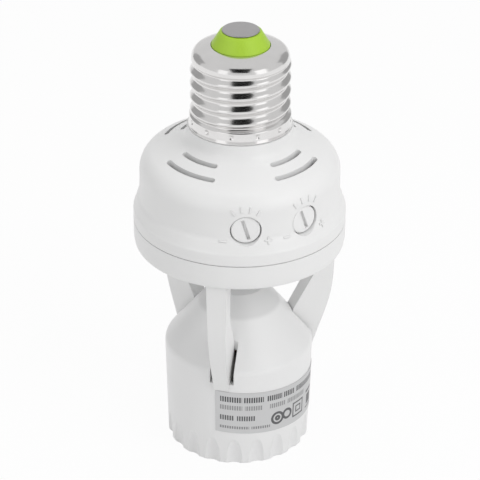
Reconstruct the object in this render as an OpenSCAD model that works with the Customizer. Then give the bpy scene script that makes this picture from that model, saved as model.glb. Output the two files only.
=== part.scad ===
// Motion sensor lamp holder: screws into a lamp socket, senses movement all round and switches the lamp below it.
// It stands on its fluted rim with the screw cap up. The origin is the middle of the rim's face. Millimetres, +Z up.
// Bearings are measured from -Y (the time dial) toward +X.

/* [Lamp cup] */
// Outer radius of the cup at its rim
rim_r = 19.5; // [18.5:0.1:20]
// Outer radius of the cup at its shoulder
shoulder_r = 20.23; // [20.1:0.01:20.8]
// Height where the shoulder starts to round over
shoulder_z = 28.5; // [27.5:0.1:30]
// Radius of the rounded shoulder
shoulder_round = 2.79; // [2:0.01:3.5]
// Rise of the cone for each millimetre toward the axis
cone_rise = 1.2775; // [1.1:0.01:1.35]
// Radius of the flat tip of the cone
cone_tip_r = 7; // [5:0.1:8]
// Thickness of the moulded walls
wall = 1.9; // [1.5:0.1:2]
// Number of shallow flutes round the rim
flutes = 20; // [12:1:24]
// Depth of a flute at the rim
flute_depth = 0.9; // [0.4:0.1:1.1]
// Height of a flute
flute_height = 8.5; // [6:0.5:9]

/* [Lamp socket] */
// Radius of the plain mouth that guides the lamp cap
mouth_r = 14.2; // [14:0.05:14.5]
// Depth of the plain mouth
mouth_depth = 6; // [5:0.1:8]
// Largest radius inside the socket's thread
socket_major_r = 13.35; // [13.3:0.01:13.4]
// Smallest radius inside the socket's thread
socket_minor_r = 12.22; // [12.15:0.01:12.3]
// Distance the centre contact can be pressed in
contact_travel = 1.5; // [0.5:0.1:2]

/* [Screw cap] */
// Rise of the cap's thread in one turn
thread_pitch = 3.629; // [3.6:0.001:3.65]
// Largest radius of the cap's thread
cap_major_r = 13.15; // [13:0.01:13.2]
// Smallest radius of the cap's thread
cap_minor_r = 12.12; // [12:0.01:12.2]
// Radius of the plain collar under the thread
collar_r = 13.35; // [13.2:0.01:13.4]
// Number of dimples that hold the shell to its neck
dimples = 12; // [8:1:16]

/* [Housing] */
// Outer radius of the flange and of the ring under it
flange_r = 28.3; // [28:0.1:29]
// Outer radius of the housing's round wall
housing_r = 26.54; // [26.3:0.01:26.7]
// Height of the joint between the housing and the ring
seam_z = 67.5; // [67:0.1:68]
// Width of the joint
seam_gap = 0.2; // [0.1:0.05:0.3]
// Underside of the ring
ring_z = 60.3; // [60:0.1:60.6]
// Width of a vent slot
vent_width = 1.3; // [0.8:0.1:1.6]

/* [Dials] */
// Height of the dials' axes
dial_z = 77; // [76.5:0.1:77.5]
// Radius of a dial's face
dial_r = 3.8; // [3.4:0.05:3.85]
// Gap between a dial and its opening
dial_gap = 0.25; // [0.15:0.05:0.3]
// Bearing of the light level dial
lux_bearing = 36; // [34:0.5:40]
// Lean of the time dial's slot at rest
time_lean = 17; // [0:1:30]
// Lean of the light level dial's slot at rest
lux_lean = 21; // [0:1:30]

/* [Legs] */
// Bearing of the first leg
leg_bearing = -16.5; // [-20:0.5:-14]
// Width of a leg where it leaves the ring
leg_top_w = 5.4; // [4.8:0.1:5.6]
// Width of a leg at its foot
leg_foot_w = 4.2; // [3.8:0.1:4.4]
// Gap between a leg and each side of its slot in the cup
slot_gap = 0.85; // [0.4:0.05:1]
// Bottom of the slots in the cup
slot_z = 26; // [25.9:0.1:27]

/* [Rating label] */
// Bearing of the label's first edge
label_start = -21.5; // [-25:0.5:-20]
// Angle that the label covers
label_angle = 116; // [90:1:120]
// Height of the label
label_h = 13.2; // [10:0.1:14]
// Drop of the label from its first edge to its last
label_drop = 2.4; // [0:0.1:3]

/* [Hidden] */
$fn = 96;

eps = 0.01;
far = 40;
leg_bearings = [leg_bearing, leg_bearing + 120, leg_bearing + 240];
screw_bearings = [73.5, 193.5, 313.5];
vent_bearings = [-44.6, 45.4, 135.4, 225.4];
// Bearing and distance of each board screw
board_screws_at = [[57.6, 13.98], [153.2, 21.06], [215.5, 21.5], [-65.3, 13.42]];
light_bearing = 175;
light_at = flange_r - 7.7;

// Cup
shoulder_normal = atan2(1, cone_rise);
shoulder_cr = shoulder_r - shoulder_round;
cone_foot_r = shoulder_cr + shoulder_round * cos(shoulder_normal);
cone_foot_z = shoulder_z + shoulder_round * sin(shoulder_normal);
cone_tip_z = cone_foot_z + (cone_foot_r - cone_tip_r) * cone_rise;
cone_wall_z = wall / sin(shoulder_normal);
sleeve_r = mouth_r + 1.7;
sleeve_z = 24;
lip_t = 2;

// Socket
base_r = sleeve_r - 0.1;
base_t = 1.7;
base_hub_r = 14.4;
base_top_z = 29;
shell_outer_r = socket_major_r + 0.4;
shell_seat_r = shell_outer_r + 0.06;
shell_flange_z = 23.4;
shell_flange_t = 0.55;
shell_rim_r = socket_major_r - 0.75;
washer_t = 0.55;
washer_z = shell_flange_z - washer_t;
rivet_at = 10.5;
plunger_r = 3.9;
plunger_z = 21.2;
plunger_t = 1.6;
stem_r = 1.5;
spring_pocket_r = 4.4;
spring_pocket_z = plunger_z + plunger_t + contact_travel + 2.2;
terminal_t = 0.5;

// Cap
shell_foot_z = 94.8;
thread_z = shell_foot_z + 3;
thread_top_z = thread_z + 15.6;
crest_z = thread_z + 5.985;
shell_bore_r = 11.75;
dome_foot_r = 12.75;
collar_bore_r = 12.55;
insulator_r = 7.6;
insulator_z = thread_top_z + 3.8;
insulator_top_r = 5.27;
insulator_top_z = insulator_z + 3.7;
contact_r = 4.91;
spigot_top_z = thread_z + 11.2;
spigot_bore_r = 9.2;
dimple_z = shell_foot_z + 2;
contact_top_z = insulator_top_z + 0.6;

// Housing
dome_round = 5.66;
dome_cr = housing_r - dome_round;
dome_cz = dial_z + 4.69;
dome_normal = 67.1;
skirt_r = flange_r - wall;
room_r = housing_r - wall;
boss_r = 2.8;
boss_at = flange_r - 6.5;
boss_z = 63.6;
pad_top = 63.5;
head_recess = 1.8;
boss_top_z = 80;

// Dials
dial_hole_r = dial_r + dial_gap;
dial_face = housing_r - 0.49;
dial_flange_r = 4.9;
trimmer_face = dial_face - 3.45;
trimmer_d = 4.2;

// Board
board_r = flange_r - 4.3;
board_z = 66;
board_t = 1.6;
board_top = board_z + board_t;
floor_t = 2;
floor_top = ring_z + floor_t;
lens_hole_r = 9;

// Legs
leg_r = flange_r - 1.9;
label_top_z = 23.9;
foot_z = label_top_z + 0.3;
wire_hole_r = 1.2;
wire_bend_z = 47;
wire_bend_r = leg_r - 2.7;
wire_low_z = 31.5;
wire_low_r = 17.1;

cup_white = [0.93, 0.93, 0.93];
house_white = [0.94, 0.94, 0.94];
nickel = [0.8, 0.8, 0.82];
brass = [0.8, 0.65, 0.35];

// Points of an arc in a plane
function arc(cx, cy, r, a0, a1, n = 10) =
    [for (i = [0:n]) let (a = a0 + (a1 - a0) * i / n) [cx + r * cos(a), cy + r * sin(a)]];

// Outer radius of the cup's tapered wall at a height
function cup_r(z) = rim_r + (shoulder_r - rim_r) * z / shoulder_z;

// Smooth step from 0 to 1
function ease(x) = let (t = min(1, max(0, x))) t * t * (3 - 2 * t);

// Catmull-Rom curve through points
function curve_point(p0, p1, p2, p3, t) =
    0.5 * (2 * p1 + (p2 - p0) * t + (2 * p0 - 5 * p1 + 4 * p2 - p3) * t * t
        + (3 * p1 - p0 - 3 * p2 + p3) * t * t * t);
function curve(p, n) = concat(
    [for (i = [0:len(p) - 2]) for (k = [0:n - 1])
        curve_point(p[max(0, i - 1)], p[i], p[i + 1], p[min(len(p) - 1, i + 2)], k / n)],
    [p[len(p) - 1]]);

function unit(v) = v / norm(v);

// Solid of revolution of a profile of [radius, height] points
module turned(profile) {
    rotate_extrude()
        polygon(profile);
}

// Plain tube
module tube(outer, inner, h) {
    difference() {
        cylinder(r = outer, h = h);
        translate([0, 0, -1])
            cylinder(r = inner, h = h + 2);
    }
}

// Turns children from -Y to a bearing
module at_bearing(b) {
    rotate([0, 0, b])
        children();
}

// Round bar along a path, as a closed mesh
module swept(path, r, sides = 8, ref = [0.31, 0.95, 0.11]) {
    n = len(path);
    rings = [for (i = [0:n - 1])
        let (t = unit(path[min(n - 1, i + 1)] - path[max(0, i - 1)]),
            u = unit(cross(t, ref)),
            v = cross(t, u))
        for (k = [0:sides - 1])
            path[i] + r * (u * cos(360 * k / sides) + v * sin(360 * k / sides))];
    sidesfaces = [for (i = [0:n - 2]) for (k = [0:sides - 1])
        let (a = i * sides + k, b = i * sides + (k + 1) % sides)
        [[a, a + sides, b + sides], [a, b + sides, b]]];
    polyhedron(
        points = rings,
        faces = concat(
            [for (f = sidesfaces) f[0]],
            [for (f = sidesfaces) f[1]],
            [[for (k = [0:sides - 1]) k]],
            [[for (k = [sides - 1:-1:0]) (n - 1) * sides + k]]),
        convexity = 6);
}

// Radius of a rolled right-hand thread at a standard angle and a height, faded to plain ends
function thread_r(a, z, major, minor, z0, z1, r0, r1, fade) =
    let (crest = crest_z + thread_pitch * (a + 93.5) / 360,
        wave = (major + minor) / 2 + (major - minor) / 2 * cos(360 * (z - crest) / thread_pitch),
        low = r0 + (wave - r0) * ease((z - z0) / fade))
    r1 + (low - r1) * ease((z1 - z) / fade);

// Thread as a closed tube: the waved wall outside and a plain bore, or the waved wall inside and a plain outside
module threaded_tube(major, minor, z0, z1, r0, r1, plain_r, fade, outside, turns = 36, rows_per_pitch = 9) {
    rows = ceil((z1 - z0) / thread_pitch * rows_per_pitch);
    waved = [for (h = [0:rows]) for (i = [0:turns - 1])
        let (a = 360 * i / turns,
            z = z0 + (z1 - z0) * h / rows,
            r = thread_r(a, z, major, minor, z0, z1, r0, r1, fade))
        [r * cos(a), r * sin(a), z]];
    plain = [for (z = [z0, z1]) for (i = [0:turns - 1])
        let (a = 360 * i / turns)
        [plain_r * cos(a), plain_r * sin(a), z]];
    p = len(waved);
    wall_faces = [for (h = [0:rows - 1]) for (i = [0:turns - 1])
        let (j = (i + 1) % turns, a = h * turns + i, b = h * turns + j, c = b + turns, d = a + turns)
        each [[a, c, b], [a, d, c]]];
    plain_faces = [for (i = [0:turns - 1])
        let (j = (i + 1) % turns, a = p + i, b = p + j, c = b + turns, d = a + turns)
        each [[a, b, c], [a, c, d]]];
    end_faces = [for (i = [0:turns - 1])
        let (j = (i + 1) % turns, t = rows * turns)
        each [[i, j, p + j], [i, p + j, p + i],
            [t + i, p + turns + j, t + j], [t + i, p + turns + i, p + turns + j]]];
    faces = concat(wall_faces, plain_faces, end_faces);
    polyhedron(
        points = concat(waved, plain),
        faces = outside ? faces : [for (f = faces) [f[2], f[1], f[0]]],
        convexity = 8);
}

// Outline of the cup's outside, for a given growth
module cup_outline(grow) {
    n = shoulder_normal;
    polygon(concat(
        [[0, 0], [rim_r + grow - 0.35, 0], [rim_r + grow, 0.35]],
        arc(shoulder_cr, shoulder_z, shoulder_round + grow, 0, n, 8),
        [[cone_tip_r + grow * cos(n), cone_tip_z + grow * sin(n)], [0, cone_tip_z + grow * sin(n)]]));
}

module cup_solid(grow = 0) {
    rotate_extrude()
        cup_outline(grow);
}

// Shallow flutes that fade out toward the label
module flute_cuts() {
    flute_r = 3.3;
    for (i = [0:flutes - 1])
        at_bearing(2.5 + 360 / flutes * (i + 0.5))
            translate([0, -(rim_r - flute_depth + flute_r), 0])
                turned([[0, -2], [flute_r, -2], [flute_r, flute_height * 0.18], [flute_r - 0.25, flute_height * 0.53],
                    [flute_r - 0.75, flute_height * 0.82], [flute_r - 1.6, flute_height + 1], [0, flute_height + 1]]);
}

module lamp_cup() {
    color(cup_white)
        difference() {
            union() {
                difference() {
                    cup_solid();
                    rotate_extrude()
                        polygon([[0, lip_t], [rim_r - wall, lip_t], [shoulder_r - wall, shoulder_z],
                            [cone_foot_r - wall * 0.8, cone_foot_z - 0.6],
                            [cone_tip_r - 0.8, cone_tip_z - cone_wall_z + 0.4], [0, cone_tip_z - cone_wall_z + 0.4]]);
                }
                translate([0, 0, lip_t / 2])
                    cylinder(r = sleeve_r, h = sleeve_z - lip_t / 2);
            }
            flute_cuts();
            translate([0, 0, -1])
                cylinder(r = mouth_r, h = mouth_depth + 1);
            translate([0, 0, mouth_depth - eps])
                cylinder(r = shell_seat_r, h = sleeve_z - mouth_depth + 1);
            for (b = leg_bearings)
                at_bearing(b)
                    translate([-leg_foot_w / 2 - slot_gap - 0.3, -far, slot_z])
                        cube([leg_foot_w + 2 * slot_gap + 0.6, far - 14.4, 10.6]);
            translate([0, 0, -eps])
                cylinder(r1 = mouth_r + 0.5, r2 = mouth_r, h = 0.5);
        }
}

// Side view of a leg: outward distance and height
module leg_side() {
    straight = 0.32;
    polygon(concat(
        [[21.0, floor_top - 0.5], [20.9, 48.6], [20.4, 46.6], [14.8, 36.4], [14.8, slot_z + 0.3],
            [16.25, slot_z + 0.3], [16.25, slot_z - 5.5], [17.9, slot_z - 5.5], [17.9, slot_z + 0.3],
            [19.4, slot_z + 0.3], [19.4, foot_z], [cup_r(foot_z) + 0.42, foot_z]],
        [[24.2, 35]],
        [for (i = [1:8]) let (z = 35 + 13.1 * i / 8) [24.2 + straight * (z - 35) - 0.0122 * pow(z - 35, 2), z]],
        [[leg_r, 52], [leg_r + 0.2, ring_z + 0.2], [leg_r + 0.2, floor_top - 0.5]]));
}

module leg() {
    difference() {
        intersection() {
            rotate([90, 0, 0])
                rotate([0, 90, 0])
                    translate([0, 0, -5])
                        mirror([1, 0, 0])
                            linear_extrude(10)
                                leg_side();
            rotate([90, 0, 0])
                linear_extrude(far)
                    polygon([[-leg_foot_w / 2, 20], [leg_foot_w / 2, 20], [leg_foot_w / 2, 28],
                            [leg_top_w / 2, ring_z], [leg_top_w / 2, floor_top], [-leg_top_w / 2, floor_top],
                            [-leg_top_w / 2, ring_z], [-leg_foot_w / 2, 28]]);
        }
        // The foot lies on the cup's wall below the slot
        intersection() {
            cup_solid(0.05);
            translate([-far, -far, 0])
                cube([2 * far, far - 18.1, slot_z + 0.3]);
        }
    }
}

// Channel down each leg, along its slope and in through its root
module wire_holes() {
    across = wire_bend_r - wire_low_r;
    down = wire_bend_z - wire_low_z;
    for (b = leg_bearings)
        at_bearing(b) {
            translate([0, -wire_bend_r, wire_bend_z]) {
                cylinder(r = wire_hole_r, h = 20, $fn = 32);
                sphere(r = wire_hole_r, $fn = 32);
                rotate([180 + atan2(across, down), 0, 0])
                    cylinder(r = wire_hole_r, h = norm([across, down]) + 0.7, $fn = 32);
            }
            translate([0, -wire_low_r - 0.9, wire_low_z])
                rotate([-90, 0, 0])
                    cylinder(r = wire_hole_r + 0.1, h = 5, $fn = 32);
        }
}

module lower_frame() {
    color(house_white)
        difference() {
            union() {
                rotate_extrude()
                    polygon(concat(
                        [[lens_hole_r, ring_z], [flange_r - 1.1, ring_z]],
                        arc(flange_r - 1.15, ring_z + 0.9, 0.9, -90, -10, 6),
                        [[flange_r, ring_z + 2.2], [flange_r, seam_z - seam_gap], [skirt_r - 0.2, seam_z - seam_gap],
                            [skirt_r - 0.2, seam_z + 1.8], [skirt_r - 1.6, seam_z + 1.8], [skirt_r - 1.6, seam_z - 1.2],
                            [skirt_r, floor_top + 0.8], [skirt_r, floor_top], [lens_hole_r, floor_top]]));
                for (b = leg_bearings)
                    at_bearing(b)
                        leg();
                // Posts under the board
                for (q = board_screws_at)
                    at_bearing(q[0])
                        translate([0, -q[1], floor_top - 0.5])
                            cylinder(r = 2.4, h = board_z - floor_top + 0.5, $fn = 48);
                // Pads over the screw recesses
                for (b = screw_bearings)
                    at_bearing(b)
                        translate([0, -boss_at, floor_top - 0.5])
                            cylinder(r = 3.7, h = pad_top - floor_top + 0.5, $fn = 48);
            }
            wire_holes();
            // Screw holes with recesses for the heads
            for (b = screw_bearings)
                at_bearing(b)
                    translate([0, -boss_at, 0]) {
                        translate([0, 0, ring_z - 1])
                            cylinder(r = 1.7, h = 8, $fn = 48);
                        translate([0, 0, ring_z - 1])
                            cylinder(r = 2.9, h = head_recess + 1, $fn = 48);
                    }
            for (q = board_screws_at)
                at_bearing(q[0])
                    translate([0, -q[1], floor_top - 1])
                        cylinder(r = 0.95, h = 9, $fn = 32);
            // Seat of the light window
            at_bearing(light_bearing)
                translate([0, -light_at, ring_z - 1])
                    cylinder(r = 2.25, h = 6, $fn = 48);
        }
}

module fresnel_lens() {
    lens_r = 8.7;
    lens_t = 0.6;
    color([0.95, 0.95, 0.94])
        difference() {
            union() {
                translate([0, 0, ring_z - 0.2])
                    intersection() {
                        sphere(r = lens_r);
                        translate([0, 0, -far])
                            cylinder(r = lens_r + 1, h = far);
                    }
                translate([0, 0, ring_z - 0.2])
                    cylinder(r = lens_r, h = floor_t + 0.25);
                translate([0, 0, floor_top + 0.05])
                    cylinder(r = 10.4, h = 0.8);
            }
            translate([0, 0, ring_z - 0.2])
                sphere(r = lens_r - lens_t);
            translate([0, 0, ring_z - 0.2])
                cylinder(r = lens_r - lens_t, h = 10);
            // Facet grooves inside the dome
            for (i = [0:7])
                at_bearing(45 * i)
                    translate([-0.1, -lens_r - 1, ring_z - lens_r])
                        difference() {
                            cube([0.2, lens_r - 1, lens_r]);
                            translate([-1, lens_r + 1, lens_r - 0.2])
                                rotate([0, 90, 0])
                                    cylinder(r = lens_r - 0.25, h = 3);
                        }
        }
}

module light_window() {
    color([0.85, 0.9, 0.92])
        at_bearing(light_bearing)
            translate([0, -light_at, ring_z]) {
                cylinder(r = 2.2, h = floor_t + 0.05, $fn = 48);
                translate([0, 0, floor_t + 0.05])
                    cylinder(r = 2.9, h = 0.6, $fn = 48);
            }
}

module pir_can() {
    color(nickel)
        difference() {
            union() {
                translate([0, 0, board_z - 0.9])
                    cylinder(r = 4.6, h = 0.6, $fn = 64);
                translate([0, 0, board_z - 4.4])
                    cylinder(r = 4.1, h = 3.6, $fn = 64);
            }
            translate([-2.05, -1.55, board_z - 5])
                cube([4.1, 3.1, 1]);
        }
}

module pir_window() {
    color([0.25, 0.27, 0.3])
        translate([-2, -1.5, board_z - 4.4])
            cube([4, 3, 0.38]);
}

module pir_pins() {
    color(brass)
        for (a = [0, 90, 180])
            rotate([0, 0, a])
                translate([2.54, 0, board_z - 0.35])
                    cylinder(r = 0.25, h = board_t + 0.3, $fn = 16);
}

module light_sensor() {
    color([0.75, 0.35, 0.2])
        at_bearing(light_bearing)
            translate([0, -light_at, floor_top + 0.9])
                cylinder(r = 2.1, h = board_z - floor_top - 0.9, $fn = 48);
}

module board_notches() {
    for (b = screw_bearings)
        at_bearing(b)
            board_notch();
}

module board_notch() {
    translate([0, -boss_at, board_z - 1])
        cylinder(r = boss_r + 0.4, h = 5, $fn = 48);
    translate([-boss_r - 0.4, -boss_at - 6, board_z - 1])
        cube([2 * boss_r + 0.8, 6, 5]);
}

module circuit_board() {
    color([0.75, 0.6, 0.35])
        difference() {
            translate([0, 0, board_z])
                cylinder(r = board_r, h = board_t);
            board_notches();
            for (a = [0, 90, 180])
                rotate([0, 0, a])
                    translate([2.54, 0, board_z - 1])
                        cylinder(r = 0.3, h = 5, $fn = 16);
            for (q = board_screws_at)
                at_bearing(q[0])
                    translate([0, -q[1], board_z - 1])
                        cylinder(r = 1.6, h = 5, $fn = 32);
        }
}

module trimmer() {
    difference() {
        translate([-4.9, -trimmer_face, dial_z - 5.2])
            cube([9.8, trimmer_d, 10.4]);
        translate([0, -trimmer_face - 1, dial_z])
            rotate([-90, 0, 0])
                cylinder(r = stem_r + 0.45, h = trimmer_d + 2, $fn = 48);
        // Bevels of the case
        for (s = [-1, 1])
            translate([s * 4.9, -far, dial_z + 5.2])
                rotate([0, 45, 0])
                    translate([-1, 0, -1])
                        cube([2, far, 2]);
    }
}

module time_trimmer() {
    color([0.15, 0.25, 0.5])
        trimmer();
}

module lux_trimmer() {
    color([0.15, 0.25, 0.5])
        at_bearing(lux_bearing)
            trimmer();
}

module trimmer_pins() {
    color(nickel)
        for (b = [0, lux_bearing])
            at_bearing(b)
                for (x = [-2.5, 0, 2.5])
                    translate([x - 0.35, -trimmer_face + trimmer_d / 2 - 0.2, board_top])
                        cube([0.7, 0.4, dial_z - 5.2 - board_top]);
}

module relay() {
    color([0.1, 0.3, 0.65])
        difference() {
            translate([-10.5, -3.4, board_top])
                cube([15, 19, 15.5]);
            for (c = [[-10.5, 0], [4.5, 0]])
                translate([c[0], 0, board_top + 15.5])
                    rotate([0, 45, 0])
                        cube([0.8, 60, 0.8], center = true);
        }
}

module film_capacitor() {
    color([0.85, 0.75, 0.2])
        translate([6, -3.4, board_top])
            cube([7, 18, 12]);
}

module electrolytic_capacitor() {
    color([0.12, 0.12, 0.14])
        translate([-16.2, 3, board_top])
            difference() {
                turned([[0, 0], [4.7, 0], [4.7, 0.9], [4.4, 1.3], [4.4, 1.6], [4.7, 2], [4.7, 11.4], [4.1, 12],
                    [0, 12]]);
                for (a = [0, 90])
                    rotate([0, 0, a])
                        translate([-2.6, -0.15, 11.75])
                            cube([5.2, 0.3, 1]);
            }
}

module control_chip() {
    color([0.1, 0.1, 0.1])
        difference() {
            translate([-10, -14.6, board_top + 0.5])
                cube([19, 6.3, 3.3]);
            translate([-10, -11.45, board_top + 2.9])
                cylinder(r = 1, h = 2, $fn = 32);
        }
}

module chip_pins() {
    color(nickel)
        for (i = [0:6])
            for (s = [-1, 1])
                translate([-9.1 + 2.54 * i + 0.4, -11.45 + s * 3.6 - 0.15, board_top])
                    cube([1, 0.3, 2.4]);
}

module diodes() {
    color([0.15, 0.15, 0.15])
        for (i = [0:3])
            translate([16 + 0.2 * i, -0.5 + 4 * i, board_top + 1.4])
                rotate([0, 90, 0])
                    cylinder(r = 1.35, h = 4.6 - 0.9 * abs(i - 1.5) * 1.6, $fn = 32);
}

module resistors() {
    color([0.8, 0.7, 0.5])
        for (i = [0:1])
            translate([-21 + 3.6 * i, -7.2, board_top + 1.3])
                rotate([-90, 0, 0])
                    cylinder(r = 1.2, h = 5.2, $fn = 32);
}

module screw(head_r, head_h, shank_r, length) {
    // Head at the origin, shank upward
    difference() {
        union() {
            turned([[0, 0], [head_r - 0.4, 0], [head_r, 0.4], [head_r, head_h], [0, head_h]]);
            translate([0, 0, head_h - eps])
                cylinder(r = shank_r, h = length, $fn = 48);
            translate([0, 0, head_h + length - 2 * eps])
                cylinder(r1 = shank_r, r2 = 0.3, h = 1.2, $fn = 48);
        }
        for (a = [0, 90])
            rotate([0, 0, a])
                translate([-head_r * 0.6, -0.3, -1])
                    cube([head_r * 1.2, 0.6, 1.7]);
    }
}

module housing_screws() {
    color(nickel)
        for (b = screw_bearings)
            at_bearing(b)
                translate([0, -boss_at, ring_z + head_recess - 1.6])
                    screw(2.7, 1.6, 1.25, 11);
}

module board_screws() {
    color(nickel)
        for (q = board_screws_at)
            at_bearing(q[0])
                translate([0, -q[1], board_top + 1.4])
                    rotate([180, 0, 0])
                        screw(1.9, 1.35, 0.85, 4.2);
}

// Raised marks round a dial
module dial_marks() {
    for (a = [-33, -11, 11, 33])
        translate([0, 0, dial_z])
            rotate([0, a, 0])
                translate([-0.22, -flange_r - 2.7, dial_r + 1.5])
                    cube([0.44, 12, 1.6]);
    for (s = [-1, 1])
        translate([s * 5.9 - 0.95, -flange_r - 2.7, dial_z - 3.1])
            cube([1.9, 12, 0.4]);
    translate([5.9 - 0.2, -flange_r - 2.7, dial_z - 3.85])
        cube([0.4, 12, 1.9]);
}

function housing_profile(grow) = concat(
    [[collar_r + 0.55 + grow, shell_foot_z - 0.1], [collar_r + 0.75 + grow, shell_foot_z - 2.7],
        [collar_r + 1.25 + grow * 0.9, shell_foot_z - 3.7 + grow * 0.4],
        [collar_r + 2.25 + grow * 0.6, shell_foot_z - 4.7 + grow * 0.8]],
    arc(dome_cr, dome_cz, dome_round + grow, dome_normal, 0, 12),
    [[housing_r + 0.02 + grow, dial_z + 0.5]],
    arc(housing_r + 3.11, seam_z + 7.7, 2.95 - grow, 172, 218, 5),
    arc(flange_r - 1.4, seam_z + 2.8, 1.4 + grow, 42, 0, 4));

module upper_housing() {
    color(house_white)
        difference() {
            union() {
                rotate_extrude()
                    polygon(concat(
                        [[spigot_bore_r, spigot_top_z], [shell_bore_r - 0.15, spigot_top_z],
                            [shell_bore_r - 0.15, thread_z - 0.6],
                            [collar_bore_r - 0.1, thread_z - 0.6], [collar_bore_r - 0.1, shell_foot_z - 0.05]],
                        housing_profile(0),
                        [[flange_r, seam_z], [skirt_r, seam_z], [skirt_r, seam_z + 2.7], [room_r, seam_z + 5.1],
                            [room_r, dome_cz]],
                        arc(dome_cr, dome_cz, dome_round - wall, 0, dome_normal, 8),
                        [[collar_r + 1.85, shell_foot_z - 6.9], [collar_r - 1.15, shell_foot_z - 6.2],
                            [spigot_bore_r, shell_foot_z - 3.3]]));
                intersection() {
                    rotate_extrude()
                        polygon(concat(housing_profile(0.25),
                            [[room_r - 0.64, seam_z + 1], [room_r - 0.64, dome_cz], [20, dome_cz + 3.31],
                                [13, dome_cz + 6.31]]));
                    union() {
                        dial_marks();
                        at_bearing(lux_bearing)
                            dial_marks();
                    }
                }
                // Screw bosses
                for (b = screw_bearings)
                    at_bearing(b) {
                        translate([0, -boss_at, boss_z])
                            cylinder(r = boss_r, h = boss_top_z - boss_z, $fn = 48);
                        translate([-0.8, -room_r - 0.6, seam_z + 3.5])
                            cube([1.6, 2.6, boss_top_z - seam_z - 5]);
                    }
            }
            // Vent slots
            for (b = vent_bearings) {
                vent(b, 16.5, 18.3);
                vent(b, 20.7, 21.4);
            }
            // Dial openings
            for (b = [0, lux_bearing])
                at_bearing(b)
                    translate([0, -flange_r - 6.7, dial_z])
                        rotate([-90, 0, 0])
                            cylinder(r = dial_hole_r, h = 14.5);
            for (b = screw_bearings)
                at_bearing(b)
                    translate([0, -boss_at, boss_z - 1])
                        cylinder(r = 1.3, h = 14.5, $fn = 32);
        }
}

// One arc-shaped slot with round ends
module vent(b, r, half) {
    at_bearing(b - 90) {
        rotate([0, 0, -half])
            rotate_extrude(angle = 2 * half)
                translate([r - vent_width / 2, 82])
                    square([vent_width, 12]);
        for (a = [-half, half])
            rotate([0, 0, a])
                translate([r, 0, 82])
                    rotate([0, 0, a])
                        rotate([0, 0, a < 0 ? -90 : 90])
                            cylinder(r = vent_width / 2, h = 12, $fn = 32);
    }
}

// Dial with its slot upright and its axis along -Y
module dial() {
    difference() {
        union() {
            translate([0, -dial_face, 0])
                rotate([-90, 0, 0])
                    turned([[0, 0], [dial_r - 0.25, 0], [dial_r, 0.25], [dial_r, 2.35], [0, 2.35]]);
            translate([0, -dial_face + 2.3, 0])
                rotate([-90, 0, 0])
                    cylinder(r = dial_flange_r, h = 0.75);
            translate([0, -dial_face + 3, 0])
                rotate([-90, 0, 0])
                    cylinder(r = stem_r + 0.4, h = dial_face - 3 - trimmer_face + trimmer_d + 0.4, $fn = 48);
        }
        translate([-0.45, -dial_face - 1, -2.9])
            cube([0.9, 2, 5.8]);
    }
}

module time_dial() {
    color(house_white)
        translate([0, 0, dial_z])
            rotate([0, -time_lean, 0])
                dial();
}

module lux_dial() {
    color(house_white)
        at_bearing(lux_bearing)
            translate([0, 0, dial_z])
                rotate([0, -lux_lean, 0])
                    dial();
}

module cap_shell() {
    color(nickel) {
        threaded_tube(cap_major_r, cap_minor_r, thread_z - 0.25, thread_top_z + 0.2, collar_r - 0.06, dome_foot_r - 0.06,
            shell_bore_r, 1.3, true);
        difference() {
            rotate([0, 0, 7.5])
                turned([[collar_bore_r, shell_foot_z], [collar_r + 0.27, shell_foot_z],
                    [collar_r + 0.27, shell_foot_z + 0.35], [collar_r, shell_foot_z + 1], [collar_r, thread_z],
                    [shell_bore_r + 0.12, thread_z], [shell_bore_r + 0.12, thread_z - 0.5],
                    [collar_bore_r, thread_z - 0.5]]);
            for (i = [0:dimples - 1])
                at_bearing(-13.5 + 360 / dimples * i)
                    translate([0, -collar_r - 0.55, dimple_z])
                        sphere(r = 0.95, $fn = 24);
        }
        rotate_extrude()
            polygon(concat(
                [[shell_bore_r + 0.12, thread_top_z], [dome_foot_r, thread_top_z]],
                arc(dome_foot_r - 2.65, thread_top_z + 0.3, 2.6, 8, 62, 8),
                [[insulator_r + 2, insulator_z - 0.45], [insulator_r + 0.1, insulator_z - 0.05],
                    [insulator_r + 0.1, insulator_z - 0.6], [insulator_r + 1.9, insulator_z - 1.1]],
                arc(dome_foot_r - 2.65, thread_top_z + 0.3, 1.9, 62, 8, 6)));
    }
}

module cap_insulator() {
    color([0.62, 0.78, 0.25])
        difference() {
            turned([[0, insulator_z - 5.2], [insulator_r - 0.4, insulator_z - 5.2],
                [insulator_r - 0.4, insulator_z - 2.2], [insulator_r, insulator_z - 2], [insulator_r, insulator_z],
                [insulator_top_r + 0.25, insulator_top_z - 0.2], [insulator_top_r, insulator_top_z],
                [0, insulator_top_z]]);
            translate([0, 0, insulator_z - 6.2])
                cylinder(r = 1.55, h = 20, $fn = 48);
            translate([0, 0, insulator_top_z - 0.25])
                cylinder(r = contact_r - 0.6, h = 3, $fn = 64);
        }
}

module cap_contact() {
    color(nickel)
        turned([[0, insulator_z - 6], [1.5, insulator_z - 6], [1.5, insulator_top_z - 0.25],
            [contact_r - 0.65, insulator_top_z - 0.25],
            [contact_r - 0.65, insulator_top_z + 0.12], [contact_r - 0.1, insulator_top_z + 0.12],
            [contact_r, insulator_top_z + 0.25], [contact_r - 0.15, insulator_top_z + 0.42], [3.6, contact_top_z - 0.1],
            [1.4, contact_top_z], [0, contact_top_z]]);
}

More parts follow.
